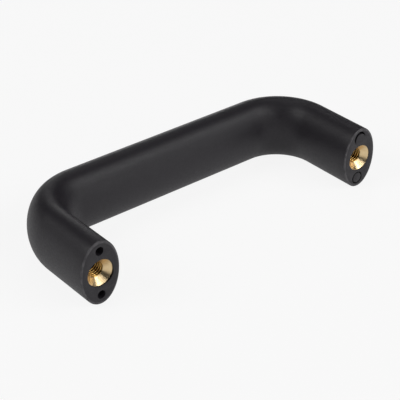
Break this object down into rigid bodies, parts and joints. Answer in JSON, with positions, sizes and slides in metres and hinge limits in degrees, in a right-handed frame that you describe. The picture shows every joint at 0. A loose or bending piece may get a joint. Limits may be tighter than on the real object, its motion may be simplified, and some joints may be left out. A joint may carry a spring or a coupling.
{
  "type": "bridge pull handle",
  "caption": "Bow-shaped pull handle of oval section, moulded in black glass-filled polyamide round threaded brass bushes in its feet.",
  "frame": {"origin": "midway between the two fixing holes, on the plane of the two feet's faces", "axes": "+X from the left foot to the right foot, +Y from the feet towards the grip, +Z across the grip's width, so the handle lies on its side"},
  "size_m": [0.1356, 0.051, 0.0248],
  "materials": {
    "moulded_polyamide": "fine matte moulded grain",
    "turned_brass": "as turned"
  },
  "bodies": {
    "root": {"handle_body": "moulded_polyamide", "left_bush": "turned_brass", "right_bush": "turned_brass"}
  },
  "joints": []
}
